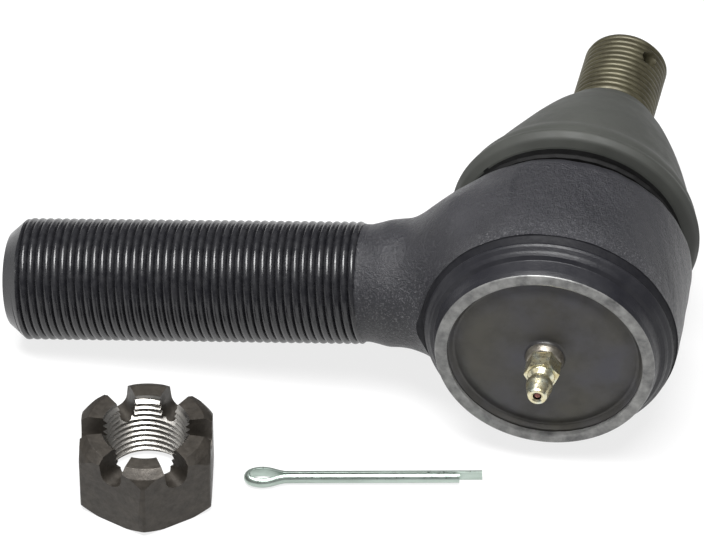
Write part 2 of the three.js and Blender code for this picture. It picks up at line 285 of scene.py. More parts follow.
def lathe(profile, sides=ROUND):
    """Points and faces of a profile of (r, z) turned about z. It starts and ends on the axis, or closes."""
    profile = [tuple(p) for p in profile]
    loops = profile[0][0] > 1e-6 or profile[-1][0] > 1e-6
    points, rows = [], []
    angles = np.arange(sides) * TURN / sides
    for r, z in profile:
        if r < 1e-6:
            rows.append([len(points)] * sides)
            points.append((0, 0, z))
        else:
            rows.append(list(range(len(points), len(points) + sides)))
            points.extend(zip(r * np.cos(angles), r * np.sin(angles), [z] * sides))
    if loops:
        rows.append(rows[0])
    faces = []
    for low, high in zip(rows[:-1], rows[1:]):
        for k in range(sides):
            n = (k + 1) % sides
            corners = list(dict.fromkeys((low[k], low[n], high[n], high[k])))
            if len(corners) > 2:
                faces.append(corners)
    return points, faces


def ridge(phase, sharpness=0.55):
    """Height of a rolled thread over one pitch: round crest at a half, narrow root at 0 and 1."""
    return np.abs(np.sin(math.pi * phase)) ** sharpness


def threaded(start, end, pitch, radius_at, sides=144, rows_per_pitch=10):
    """Points and faces of a closed bar along z whose radius_at(z, phase) follows a right-hand helix."""
    first = int(math.floor(start / pitch) - 1) * rows_per_pitch
    last = int(math.ceil(end / pitch) + 2) * rows_per_pitch
    row = np.arange(first, last + 1)[:, None]
    turn = np.arange(sides)[None, :] / sides
    z = np.clip((row / rows_per_pitch + turn) * pitch, start, end)
    phase = (z / pitch - turn) % 1
    r = radius_at(z, phase)
    points = np.stack([r * np.cos(TURN * turn), r * np.sin(TURN * turn), z], -1).reshape(-1, 3)
    faces = []
    rows = last - first + 1
    for i in range(rows - 1 - rows_per_pitch):
        for k in range(sides):
            n, j = (k + 1, i) if k + 1 < sides else (0, i + rows_per_pitch)
            faces.append((i * sides + k, j * sides + n, (j + 1) * sides + n, (i + 1) * sides + k))
    used = [f for f in faces if z.flat[f[0]] != z.flat[f[3]] or z.flat[f[1]] != z.flat[f[2]]]
    return points, used


def skin_of(field, low, high, step):
    """Points and faces of the surface where field is zero, on a grid with its points moved onto it."""
    axes = [np.arange(a, b + step, step) for a, b in zip(low, high)]
    inside = field(*np.meshgrid(*axes, indexing="ij")) < 0
    cells = np.zeros([n - 1 for n in inside.shape], int)
    for i in (0, 1):
        for j in (0, 1):
            for k in (0, 1):
                window = tuple(slice(first, size - 1 + first) for first, size in zip((i, j, k), inside.shape))
                cells += inside[window]
    crossed = (cells > 0) & (cells < 8)
    number = np.full(cells.shape, -1)
    number[crossed] = np.arange(crossed.sum())
    at = np.argwhere(crossed)
    points = np.stack([axes[k][at[:, k]] + step / 2 for k in range(3)], 1)
    for _ in range(5):
        value = field(*points.T)
        nudges = np.eye(3) * 0.02
        slope = np.stack([field(*(points + e).T) - field(*(points - e).T) for e in nudges], 1) / 0.04
        points = points - slope * (value / np.maximum((slope**2).sum(1), 1e-9))[:, None]
    faces = []
    for axis in range(3):
        lower = [slice(None)] * 3
        upper = [slice(None)] * 3
        lower[axis], upper[axis] = slice(None, -1), slice(1, None)
        u, v = (axis + 1) % 3, (axis + 2) % 3
        a, b = inside[tuple(lower)], inside[tuple(upper)]
        for flip in (False, True):
            edges = np.argwhere((b & ~a) if flip else (a & ~b))
            shifts = [(0, 0), (-1, 0), (-1, -1), (0, -1)]
            corners = []
            for du, dv in shifts[::-1] if flip else shifts:
                cell = edges.copy()
                cell[:, u] += du
                cell[:, v] += dv
                corners.append(number[tuple(cell.T)])
            faces.append(np.stack(corners, 1))
    return points, np.vstack(faces)


def smooth_step(value, low, high):
    t = np.clip((value - low) / (high - low), 0, 1)
    return t * t * (3 - 2 * t)


# ---------- material tools ----------

class Look:
    """A procedural material in the piece's own coordinates, the row frame's once square_up has run."""

    def __init__(self, name, colour, roughness, metallic=0.0, specular=0.5, ior=1.5):
        self.material = bpy.data.materials.new(name)
        self.material.use_nodes = True
        self.tree = self.material.node_tree
        self.shader = self.tree.nodes["Principled BSDF"]
        self.set("Base Color", (*colour, 1))
        self.set("Roughness", roughness)
        self.set("Metallic", metallic)
        self.set("Specular IOR Level", specular)
        self.set("IOR", ior)
        self.place = self.tree.nodes.new("ShaderNodeTexCoord").outputs["Object"]
        self.bumps = None

    def set(self, socket, value):
        self.shader.inputs[socket].default_value = value

    def link(self, output, socket):
        self.tree.links.new(output, socket)

    def stretched(self, scale):
        node = self.tree.nodes.new("ShaderNodeMapping")
        node.inputs["Scale"].default_value = scale
        self.link(self.place, node.inputs["Vector"])
        return node.outputs["Vector"]

    def noise(self, size_mm, detail=3.0, roughness=0.55, stretch=None):
        """Noise with features of about this size, from 0 to 1."""
        node = self.tree.nodes.new("ShaderNodeTexNoise")
        node.inputs["Scale"].default_value = 1000 / size_mm
        node.inputs["Detail"].default_value = detail
        node.inputs["Roughness"].default_value = roughness
        self.link(self.stretched(stretch) if stretch else self.place, node.inputs["Vector"])
        return node.outputs["Fac"]

    def ramp(self, value, *stops):
        """Colours or greys between (position, colour) stops."""
        node = self.tree.nodes.new("ShaderNodeValToRGB")
        ramp = node.color_ramp
        for i, (at, colour) in enumerate(stops):
            element = ramp.elements[i] if i < 2 else ramp.elements.new(at)
            element.position = at
            grey = not hasattr(colour, "__len__")
            element.color = (colour, colour, colour, 1) if grey else (*colour, 1)
        self.link(value, node.inputs["Fac"])
        return node.outputs["Color"]

    def mix(self, factor, a, b):
        node = self.tree.nodes.new("ShaderNodeMix")
        node.data_type = "RGBA"
        self.link(factor, node.inputs["Factor"])
        for socket, value in (("A", a), ("B", b)):
            target = [s for s in node.inputs if s.name == socket and s.type == "RGBA"][0]
            if hasattr(value, "links"):
                self.link(value, target)
            else:
                target.default_value = (*value, 1)
        return [s for s in node.outputs if s.type == "RGBA"][0]

    def times(self, value, factor):
        node = self.tree.nodes.new("ShaderNodeMath")
        node.operation = "MULTIPLY"
        self.link(value, node.inputs[0])
        self.link(factor, node.inputs[1])
        return node.outputs[0]

    def along(self, axis, start_mm, end_mm):
        """0 before start and 1 past end, from the ball centre along an axis, on a squared-up piece."""
        dot = self.tree.nodes.new("ShaderNodeVectorMath")
        dot.operation = "DOT_PRODUCT"
        self.link(self.place, dot.inputs[0])
        dot.inputs[1].default_value = axis
        node = self.tree.nodes.new("ShaderNodeMapRange")
        node.interpolation_type = "SMOOTHSTEP"
        node.inputs["From Min"].default_value = ball.dot(axis) + start_mm * MM
        node.inputs["From Max"].default_value = ball.dot(axis) + end_mm * MM
        self.link(dot.outputs["Value"], node.inputs["Value"])
        return node.outputs["Result"]

    def colour(self, output):
        self.link(output, self.shader.inputs["Base Color"])

    def roughness(self, output):
        self.link(output, self.shader.inputs["Roughness"])

    def bump(self, height, depth_mm, strength=1.0):
        node = self.tree.nodes.new("ShaderNodeBump")
        node.inputs["Strength"].default_value = strength
        node.inputs["Distance"].default_value = depth_mm * MM
        self.link(height, node.inputs["Height"])
        if self.bumps:
            self.link(self.bumps, node.inputs["Normal"])
        self.bumps = node.outputs["Normal"]
        self.link(self.bumps, self.shader.inputs["Normal"])


# ---------- materials ----------

def forged_coating():
    look = Look("forged_coating", (0.018, 0.018, 0.021), 0.45, specular=0.42)
    grain = look.noise(0.5, 4, 0.7)
    pits = look.noise(1.5, 3, 0.6)
    patches = look.noise(14, 3)
    cast = look.ramp(patches, (0.3, (0.014, 0.014, 0.017)), (0.7, (0.021, 0.021, 0.025)))
    specks = look.ramp(look.noise(0.45, 2, 0.5), (0.56, 0.0), (0.66, 1.0))
    # Painted highlight: lighter specks in a band 9 to 18 mm from the ball towards the cover end stand in for the
    # overhead light's sheen near the barrel's lower edge.
    painted_highlight_specks = look.times(specks, look.along(-bore_axis, 9, 18))
    look.colour(look.mix(painted_highlight_specks, cast, (0.09, 0.09, 0.095)))
    look.roughness(look.ramp(grain, (0.3, 0.28), (0.7, 0.5)))
    look.bump(pits, 0.3)
    look.bump(grain, 0.28)
    return look.material


def machined_coating():
    look = Look("machined_coating", (0.018, 0.018, 0.021), 0.4, specular=0.25)
    patches = look.noise(6, 3)
    look.colour(look.ramp(patches, (0.3, (0.011, 0.011, 0.014)), (0.7, (0.018, 0.018, 0.021))))
    look.roughness(look.ramp(look.noise(1.2, 3), (0.3, 0.32), (0.7, 0.46)))
    look.bump(look.noise(0.5, 3), 0.06)
    return look.material


def recess_painted_shade():
    """Painted shade: a darker coat in the turned recess, which light hardly reaches."""
    look = Look("recess_painted_shade", (0.008, 0.008, 0.01), 0.6, specular=0.15)
    look.colour(look.ramp(look.noise(2, 3), (0.3, (0.006, 0.006, 0.008)), (0.7, (0.011, 0.011, 0.013))))
    look.roughness(look.ramp(look.noise(1, 3), (0.3, 0.5), (0.7, 0.7)))
    look.bump(look.noise(0.6, 3), 0.08)
    return look.material


def thread_coating():
    look = Look("thread_coating", (0.024, 0.024, 0.027), 0.34)
    wear = look.noise(2.2, 4, 0.6)
    look.colour(look.ramp(wear, (0.35, (0.009, 0.009, 0.011)), (0.8, (0.02, 0.02, 0.022))))
    look.roughness(look.ramp(wear, (0.3, 0.2), (0.7, 0.34)))
    look.bump(look.noise(0.6, 3), 0.015)
    return look.material


def rolled_lip():
    look = Look("rolled_lip", (0.075, 0.075, 0.07), 0.42, metallic=0.35)
    patches = look.noise(3.5, 4, 0.6)
    look.colour(look.ramp(patches, (0.3, (0.08, 0.08, 0.08)), (0.75, (0.27, 0.27, 0.26))))
    look.roughness(look.ramp(look.noise(1.2, 3), (0.3, 0.28), (0.7, 0.46)))
    look.bump(look.noise(0.9, 3), 0.05)
    look.bump(look.noise(5, 2), 0.08)
    return look.material


def cover_steel():
    look = Look("cover_steel", (0.08, 0.08, 0.085), 0.4, metallic=0.55)
    cloud = look.noise(22, 3, 0.5)
    cast = look.ramp(cloud, (0.35, (0.052, 0.052, 0.062)), (0.65, (0.058, 0.055, 0.046)))
    stains = look.ramp(look.noise(7, 4, 0.6), (0.45, 0.0), (0.75, 1.0))
    look.colour(look.mix(stains, cast, (0.042, 0.04, 0.036)))
    look.roughness(look.ramp(look.noise(3, 4), (0.3, 0.36), (0.7, 0.52)))
    look.bump(look.noise(0.7, 3), 0.012)
    look.bump(look.noise(9, 2), 0.12)
    return look.material


def stud_steel():
    look = Look("stud_steel", (0.15, 0.14, 0.1), 0.42, metallic=0.5)
    cloud = look.noise(6, 4, 0.6)
    look.colour(look.ramp(cloud, (0.3, (0.046, 0.041, 0.024)), (0.7, (0.082, 0.075, 0.045))))
    look.roughness(look.ramp(look.noise(1.5, 3), (0.3, 0.34), (0.7, 0.52)))
    look.bump(look.noise(0.5, 3), 0.012)
    return look.material


def boot_rubber():
    look = Look("boot_rubber", (0.055, 0.057, 0.05), 0.62, specular=0.4)
    dust = look.noise(16, 4, 0.6)
    look.colour(look.ramp(dust, (0.3, (0.03, 0.0315, 0.028)), (0.7, (0.043, 0.045, 0.04))))
    look.roughness(look.ramp(look.noise(4, 3), (0.3, 0.55), (0.7, 0.7)))
    look.bump(look.noise(0.35, 3), 0.02)
    look.bump(look.noise(7, 2), 0.06)
    return look.material


def boot_underside_painted_shade():
    """Painted shade: near-black matt rubber under the skirt, for the gap beneath it that lies in shadow."""
    look = Look("boot_underside_painted_shade", (0.006, 0.006, 0.006), 0.8, specular=0.15)
    look.colour(look.ramp(look.noise(3, 2), (0.3, (0.004, 0.004, 0.004)), (0.7, (0.008, 0.008, 0.008))))
    look.roughness(look.ramp(look.noise(1, 2), (0.3, 0.7), (0.7, 0.9)))
    look.bump(look.noise(1, 2), 0.05)
    return look.material


def bearing_polymer():
    look = Look("bearing_polymer", (0.72, 0.69, 0.6), 0.5)
    look.colour(look.ramp(look.noise(8, 3), (0.3, (0.66, 0.62, 0.52)), (0.7, (0.76, 0.73, 0.64))))
    look.bump(look.noise(0.8, 3), 0.01)
    return look.material


def spring_steel():
    look = Look("spring_steel", (0.3, 0.3, 0.31), 0.35, metallic=0.95)
    look.colour(look.ramp(look.noise(1.5, 3), (0.3, (0.22, 0.22, 0.23)), (0.7, (0.36, 0.36, 0.37))))
    look.bump(look.noise(0.4, 3), 0.008)
    return look.material


def black_ring_painted_shade():
    # Painted shade: the retaining ring is made near black to stand in for the dark gap under the boot skirt.
    look = Look("black_ring_painted_shade", (0.006, 0.006, 0.006), 0.7, specular=0.15)
    look.colour(look.ramp(look.noise(2, 3), (0.3, (0.004, 0.004, 0.004)), (0.7, (0.008, 0.008, 0.008))))
    look.bump(look.noise(0.4, 3), 0.01)
    return look.material


def fitting_zinc():
    look = Look("fitting_zinc", (0.6, 0.54, 0.36), 0.26, metallic=0.95)
    cloud = look.noise(2.2, 3)
    tints = (0.3, (0.5, 0.43, 0.24)), (0.5, (0.66, 0.61, 0.42)), (0.7, (0.6, 0.64, 0.55))
    look.colour(look.ramp(cloud, *tints))
    look.roughness(look.ramp(look.noise(1, 3), (0.3, 0.2), (0.7, 0.38)))
    look.bump(look.noise(0.6, 3), 0.01)
    return look.material


def fitting_collar():
    look = Look("fitting_collar", (0.22, 0.2, 0.17), 0.36, metallic=0.8)
    look.colour(look.ramp(look.noise(2.5, 4), (0.3, (0.13, 0.115, 0.095)), (0.7, (0.3, 0.28, 0.24))))
    look.roughness(look.ramp(look.noise(1.2, 3), (0.3, 0.28), (0.7, 0.46)))
    look.bump(look.noise(0.6, 3), 0.02)
    return look.material


def check_ball_steel():
    look = Look("check_ball_steel", (0.25, 0.08, 0.07), 0.35, metallic=0.5)
    look.colour(look.ramp(look.noise(0.6, 3), (0.3, (0.12, 0.035, 0.035)), (0.7, (0.3, 0.12, 0.1))))
    look.bump(look.noise(0.3, 3), 0.01)
    return look.material


def nut_steel():
    look = Look("nut_steel", (0.09, 0.08, 0.065), 0.45, metallic=0.55)
    cloud = look.noise(3, 4, 0.65)
    look.colour(look.ramp(cloud, (0.3, (0.03, 0.026, 0.0215)), (0.7, (0.054, 0.047, 0.039))))
    look.roughness(look.ramp(look.noise(1.2, 4), (0.3, 0.36), (0.7, 0.56)))
    look.bump(look.noise(0.6, 4), 0.05)
    look.bump(look.noise(3.5, 2), 0.06)
    return look.material


def cut_thread():
    look = Look("cut_thread", (0.6, 0.58, 0.55), 0.28, metallic=1.0)
    look.colour(look.ramp(look.noise(4, 2), (0.3, (0.36, 0.345, 0.32)), (0.7, (0.46, 0.445, 0.42))))
    look.roughness(look.ramp(look.noise(3, 2), (0.3, 0.24), (0.7, 0.34)))
    look.bump(look.noise(3, 2), 0.01)
    return look.material


def pin_zinc():
    look = Look("pin_zinc", (0.42, 0.45, 0.42), 0.32, metallic=0.9)
    drawn = look.noise(3, 3, stretch=(0.2, 1, 1))
    look.colour(look.ramp(drawn, (0.3, (0.31, 0.37, 0.33)), (0.7, (0.45, 0.53, 0.48))))
    look.roughness(look.ramp(look.noise(0.8, 3), (0.3, 0.26), (0.7, 0.42)))
    look.bump(look.noise(0.5, 3), 0.015)
    return look.material


FORGED, MACHINED, THREAD, LIP, RECESS = range(5)
housing_looks = [forged_coating(), machined_coating(), thread_coating(), rolled_lip(), recess_painted_shade()]


def only(index):
    """A finishing step that gives every face of an object one of its materials."""
    def paint(obj):
        obj.data.polygons.foreach_set("material_index", [index] * len(obj.data.polygons))
        return obj
    return paint


def socket_solid(name, shape, index, place=socket_frame):
    return only(index)(make_object(name, *shape, place, housing_looks))


# ---------- housing ----------

# half width across the bore and half height along it, by distance from the ball
NECK = [(52, 15, 15), (50, 15.05, 15.05), (47, 15.7, 15.6), (44, 16.5, 16.2), (41, 16.75, 16.5),
        (38, 17.3, 16.8), (35, 19.2, 17), (32, 21.8, 17.1), (28, 25, 17), (24, 27.2, 16.6), (18, 28, 15.6),
        (10, 28, 14.6)]


def forging_field(x, y, z):
    """Signed distance, about, to the forging: the round barrel and the neck that fans out into it."""
    edge = 4.4
    drawn_in = 0.5 * smooth_step(-z, 8, 26)
    radial = np.hypot(x, y) - (BARREL_R - edge - drawn_in)
    upward = z - (BARREL_TOP - edge)
    outside = np.hypot(np.maximum(radial, 0), np.maximum(upward, 0))
    barrel = outside + np.minimum(np.maximum(radial, upward), 0) - edge
    barrel = np.maximum(barrel, -33 - z)
    table = spline(NECK)[::-1]
    wide = np.interp(-x, table[:, 0], table[:, 1])
    high = np.interp(-x, table[:, 0], table[:, 2])
    neck = (np.sqrt((y / wide)**2 + (z / high)**2) - 1) * np.minimum(wide, high)
    neck = np.maximum(neck, np.maximum(-x - 51.5, x + 12))
    soft = 5.0
    near = np.maximum(soft - np.abs(barrel - neck), 0) / soft
    broad = 0.1 * np.sin(0.31 * x + 0.2 * z) * np.sin(0.27 * y + 1)
    uneven = broad + 0.05 * np.sin(0.8 * x + 0.5 * y) * np.sin(0.7 * z)
    return np.minimum(barrel, neck) - near**2 * soft / 4 + uneven


def machining_tool():
    """Everything outside the turned surface at the cover end."""
    far, below = 35.3, -45
    turned_surface = rounded([
        (far, -17.9), (34.5, -17.9, 0.3), (33.2, -18.5, 0.2), (32.4, -18.7, 0.4),
        (31.6, -20.7, 0.4), (31.95, -21.3, 0.15), (31.6, -21.9, 0.2), (30.8, -22.7, 0.3), (30.5, -23.2, 0.15),
        (30.1, -23.7, 0.2), (29.0, -24.3, 0.4), (28.5, -27.6, 2), (27.95, -29.45, 0.7),
        (25.4, -29.45, 0.4), (24.6, -29.0, 0.2), (20, -29),
    ])
    return lathe(rounded([(20, below), (far, below)]) + turned_surface)


def bore_tool():
    seat_low = LIP_FACE + LIP_THICK
    seat_top = seat_low + COVER_THICK + GAP
    return lathe([
        (0, -45), (LIP_IN_R, -45), (LIP_IN_R, seat_low),
        (COVER_R + GAP, seat_low), (COVER_R + GAP, seat_top), (BORE_R, seat_top), (BORE_R, MOUTH_LOW),
        (MOUTH_R, MOUTH_LOW), (MOUTH_TOP_R, BARREL_TOP + 0.05), (MOUTH_TOP_R, 30), (0, 30),
    ])


def collar():
    return lathe(rounded([
        (COLLAR_IN_R - 5.2, BARREL_TOP - 3), (COLLAR_IN_R - 5.2, BARREL_TOP - 0.1),
        (COLLAR_IN_R, BARREL_TOP - 0.1),
        (COLLAR_IN_R, COLLAR_TOP, 0.4), (COLLAR_OUT_R, COLLAR_TOP, 0.5), (COLLAR_OUT_R, BARREL_TOP - 3),
    ]))


def shoulder_tool():
    above = COLLAR_TOP + 12
    floor = BARREL_TOP + 0.02
    return lathe([(COLLAR_OUT_R - 8, COLLAR_TOP), (COLLAR_OUT_R - 8, above), (SHOULDER_CUT_R + 1, above),
                  (SHOULDER_CUT_R, floor), (COLLAR_OUT_R, floor), (COLLAR_OUT_R, COLLAR_TOP)])


def shank_radius(z, phase):
    thread = SHANK_R - SHANK_DEPTH * (1 - ridge(phase))
    start = RELIEF_R + np.maximum(z - (THREAD_START - THREAD_RUN_IN), 0) * 0.9
    chamfer = SHANK_END_R + (SHANK_END - z) * 0.85
    deep = np.where(z < THREAD_START - THREAD_RUN_IN, RELIEF_R, np.minimum(thread, start))
    return np.minimum(deep, chamfer)


def shank_bar():
    place = axes_matrix(bore_axis.cross(shank_axis), shank_axis, ball)
    bar = socket_solid("shank_bar", threaded(47.5, SHANK_END, SHANK_PITCH, shank_radius), THREAD, place)
    for face in bar.data.polygons:
        if face.center.z < (THREAD_START - 1.4) * MM:
            face.material_index = FORGED
    return bar


def centre_drill():
    place = axes_matrix(bore_axis.cross(shank_axis), shank_axis, ball)
    cone = lathe([(0, SHANK_END - 6), (1.2, SHANK_END - 5.2), (1.2, SHANK_END - 2.6), (3.1, SHANK_END + 0.7),
                  (0, SHANK_END + 0.7)], 48)
    return socket_solid("centre_drill", cone, THREAD, place)


def build_housing():
    skin = skin_of(forging_field, (-54, -37, -35), (36, 37, 19), 0.6)
    body = socket_solid("housing_forged", skin, FORGED)
    combine(body, "DIFFERENCE", socket_solid("machining_tool", machining_tool(), MACHINED))
    combine(body, "DIFFERENCE", socket_solid("shoulder_tool", shoulder_tool(), MACHINED))
    combine(body, "UNION", socket_solid("collar", collar(), MACHINED))
    combine(body, "DIFFERENCE", socket_solid("bore_tool", bore_tool(), MACHINED))
    combine(body, "UNION", shank_bar())
    combine(body, "DIFFERENCE", centre_drill())
    for face in body.data.polygons:
        at = face.center / MM
        radius = math.hypot(at.x, at.y)
        if at.z < LIP_EDGE and radius > LIP_IN_R - 0.1:
            face.material_index = LIP
        # Machined faces in the recess take the painted-shade coat.
        elif face.material_index == MACHINED and RECESS_LOW < at.z < RECESS_HIGH and radius > RECESS_R:
            face.material_index = RECESS
    smooth(body, SHARP)
    square_up(body)
    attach(body, "housing")
    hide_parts("tie_rod_housing")


# ---------- cover plate and grease fitting ----------

def build_cover():
    rim = LIP_FACE + LIP_THICK + 0.15
    back = rim + COVER_THICK - 0.3
    boss_r, boss_end = 4.95, COVER_FACE - 3.0
    shape = lathe(rounded([
        (3.3, back), (3.3, boss_end + 0.1, 0.4), (4.3, boss_end, 0.7), (boss_r, COVER_FACE - 1.4, 0.6),
        (boss_r + 0.1, COVER_FACE, 0.8), (20.5, COVER_FACE, 9), (23.6, COVER_FACE + 0.95, 0.8),
        (24.7, rim + 0.1, 0.4), (COVER_R, rim, 0.2), (COVER_R, back, 0.3),
    ], 6))
    cover = make_object("cover_plate_pressed", *shape, socket_frame, [cover_steel(), fitting_collar()])
    for face in cover.data.polygons:
        at = face.center / MM
        if math.hypot(at.x, at.y) < boss_r + 0.05 and at.z < COVER_FACE + 0.2:
            face.material_index = 1
    square_up(cover)
    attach(cover, "housing")
    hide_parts("cover_plate")


def hexagon_bar(flats, low, high, corner_radius=0.5):
    """Points and faces of a hexagon bar along z with its corners, one on +x, slightly rounded."""
    ring = []
    inner = (flats / 2 - corner_radius) / math.cos(math.pi / 6)
    for k in range(6):
        corner = k * TURN / 6
        for a in np.linspace(corner - TURN / 12, corner + TURN / 12, 6):
            ring.append((inner * math.cos(corner) + corner_radius * math.cos(a),
                         inner * math.sin(corner) + corner_radius * math.sin(a)))
    n = len(ring)
    points = [(x, y, z) for z in (low, high) for x, y in ring]
    faces = [(k, (k + 1) % n, n + (k + 1) % n, n + k) for k in range(n)]
    faces += [tuple(range(n))[::-1], tuple(range(n, 2 * n))]
    return points, faces


def build_fitting():
    look = [fitting_zinc()]
    hex_low, hex_high = -35.3, COVER_FACE - 2.4
    nose = -43.4
    hexagon = make_object("fitting_hexagon", *hexagon_bar(8, hex_low, hex_high, 0.25), socket_frame, look)
    trim = make_object("fitting_trim", *lathe(rounded([
        (0, hex_low - 0.5), (3.7, hex_low - 0.5), (3.85, hex_low, 0.3), (4.75, hex_low + 0.7, 0.3),
        (4.75, hex_high - 0.5), (4.3, hex_high + 0.1), (0, hex_high + 0.1)]), 96), socket_frame, look)
    combine(hexagon, "INTERSECT", trim)
    stem = make_object("fitting_stem", *lathe(rounded([
        (0, -22.6), (3.1, -22.6, 0.3), (3.1, hex_low + 1), (3.55, hex_low + 0.5), (3.55, hex_low - 0.5, 0.7),
        (2.6, hex_low - 1.7, 0.8), (2.65, hex_low - 2.3, 0.5), (3.4, hex_low - 3.1, 0.5),
        (3.35, hex_low - 4.4, 0.8),
        (2.5, nose + 0.5, 0.3), (2.2, nose, 0.25), (0, nose)]), 96), socket_frame, look)
    combine(stem, "UNION", hexagon)
    passage = make_object("fitting_passage", *lathe(rounded([
        (0, nose - 1), (1.7, nose - 1), (1.7, nose - 0.1), (1.1, nose + 0.35), (1.1, nose + 0.5),
        (1.75, nose + 1.2),
        (1.75, nose + 8), (1, nose + 8.8), (1, -21), (0, -21)]), 48), socket_frame, look)
    combine(stem, "DIFFERENCE", passage)
    stem.name = "grease_fitting_fine"
    smooth(stem, SHARP)
    square_up(stem)
    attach(stem, "housing")
    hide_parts("grease_fitting")


# ---------- stud ----------

def stud_radius(z, phase):
    thread = STUD_R - STUD_DEPTH * (1 - ridge(phase))
    plain_until = BOOT_TOP + 1.5
    runout = STUD_R - STUD_DEPTH * np.clip((z - plain_until) / 1.2, 0, 1) * (1 - ridge(phase))
    chamfer = STUD_R - 1.5 + (STUD_END - z) * 0.9
    neck_in = STUD_R - 0.6 + np.maximum(z - (TAPER_END + 1.8), 0)
    return np.minimum(np.minimum(np.where(z < plain_until + 1.2, runout, thread), chamfer), neck_in)


def build_stud():
    look = [stud_steel()]
    meets = math.degrees(math.acos(NECK_R / BALL_R))
    root = lathe([(0, -BALL_R)] + arc(0, 0, BALL_R, -90, meets, 40)[1:] + rounded([
        (NECK_R, TAPER_START - 8), (NECK_R, TAPER_START - 5.5, 3), (TAPER_BIG_R, TAPER_START, 2.2),
        (TAPER_SMALL_R, TAPER_END, 0.5), (STUD_R - 1, TAPER_END + 0.9), (0, TAPER_END + 0.9)]))
    stud = make_object("ball_stud_fine", *root, stud_frame, look)
    thread = threaded(TAPER_END, STUD_END, STUD_PITCH, stud_radius, 128)
    combine(stud, "UNION", make_object("stud_thread", *thread, stud_frame, look))
    across = stud_frame @ Matrix.Rotation(COTTER_HOLE_TURN, 4, "Z")
    across = across @ Matrix.Translation((0, 0, COTTER_HOLE_AT * MM)) @ Matrix.Rotation(math.pi / 2, 4, "Y")
    flared = COTTER_HOLE_R + 5
    hole = lathe([
        (0, -20), (flared, -20), (COTTER_HOLE_R, -STUD_R + 1.2), (COTTER_HOLE_R, STUD_R - 1.2),
        (flared, 20), (0, 20)], 48)
    combine(stud, "DIFFERENCE", make_object("cotter_hole", *hole, across, look))
    smooth(stud, SHARP)
    square_up(stud)
    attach(stud, "stud")
    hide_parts("ball_stud")


# ---------- boot ----------

BOOT_CONE = [(31.75, 24.75), (31.4, 26.8), (30.6, 28.6), (29.3, 30.8), (27.2, 35.8), (24.5, 41.8), (21.2, 48.8),
             (17.4, 55.8), (14.5, 59.8)]
BOOT_INSIDE = [(11.5, 62.4), (11.5, 60.5), (12.6, 58.4), (13.4, 54), (17.4, 48), (21, 40.4), (23.6, 34.6),
               (25.8, 29.6), (28, 25.4), (28.4, 23.2), (27.2, 20.8), (26.8, 18.4)]


def build_boot():
    skirt = rounded([
        (27.7, BOOT_BASE), (27.5, 15.6, 0.5), (27.5, 18.9, 0.6), (29.3, 19.6, 0.12), (29.75, 19.75, 0.12),
        (31.7, 21.0, 2.2), (32.75, 23.0, 1.2), (32.3, 24.35, 0.3), (31.9, 24.6, 0.15),
    ], 6)
    rim = rounded([(14.5, 59.8), (13.4, 61.9, 0.8), (12.7, BOOT_TOP, 0.5), (11.6, BOOT_TOP, 0.4)], 5)[1:]
    profile = skirt + [tuple(p) for p in spline(BOOT_CONE)] + rim + [tuple(p) for p in spline(BOOT_INSIDE)]
    points, faces = lathe(profile + [(26.8, BOOT_BASE)])
    points = np.array(points)
    height = points[:, 2]
    share = 0.6 * smooth_step(height, COLLAR_TOP + 0.9, 22) + 0.4 * smooth_step(height, 22, 45)
    tilt = socket_frame.to_3x3().inverted() @ lean.to_matrix() @ socket_frame.to_3x3()
    axis, angle = tilt.to_quaternion().to_axis_angle()
    bent = [Quaternion(axis, angle * s) @ Vector(p) for p, s in zip(points, share)]
    boot = make_object("dust_boot_fine", bent, faces, socket_frame, [boot_rubber(), boot_underside_painted_shade()], 40)
    for face in boot.data.polygons:
        # Faces under the skirt take the painted-shade rubber.
        at = face.center / MM
        if at.z < UNDERSIDE_TOP and math.hypot(at.x, at.y) < UNDERSIDE_R:
            face.material_index = 1
    square_up(boot)
    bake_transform(boot)
    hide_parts("dust_boot")


# ---------- nut ----------

def slot_cutter(turn):
    """One slot from the bore outward, round at its floor, wider towards its top and its outer end."""
    floor = NUT_HEIGHT - SLOT_DEPTH
    points, faces = [], []
    arc_steps = 10
    stations = np.linspace(8, 21, 6)
    for x in stations:
        r = SLOT_R + SLOT_SPREAD * (x - NUT_BORE_R)
        top = r + (SLOT_DEPTH + 2 - r) * SLOT_DRAFT
        section = [(-top, floor + SLOT_DEPTH + 2)]
        turns = np.linspace(-math.pi / 2, math.pi / 2, arc_steps)
        section += [(r * math.sin(a), floor + r - r * math.cos(a)) for a in turns]
        section.append((top, floor + SLOT_DEPTH + 2))
        points += [(x, y, z) for y, z in section]
    n = arc_steps + 2
    for i in range(len(stations) - 1):
        for k in range(n):
            j = (k + 1) % n
            faces.append((i * n + k, i * n + j, (i + 1) * n + j, (i + 1) * n + k))
    faces += [tuple(range(n)), tuple(range(len(points) - n, len(points)))[::-1]]
    place = nut_frame() @ Matrix.Rotation(turn, 4, "Z")
    return place, points, faces


def nut_bore(z, phase):
    groove = np.clip(1.25 * (1 - np.abs(2 * phase - 1)) - 0.1, 0, 1)
    thread = NUT_BORE_R + 1.1 * groove
    low_cone = NUT_BORE_R + 1.5 - z * 0.9
    high_cone = NUT_BORE_R + 1.2 - (NUT_HEIGHT - z) * 0.9
    return np.maximum(thread, np.maximum(low_cone, high_cone))


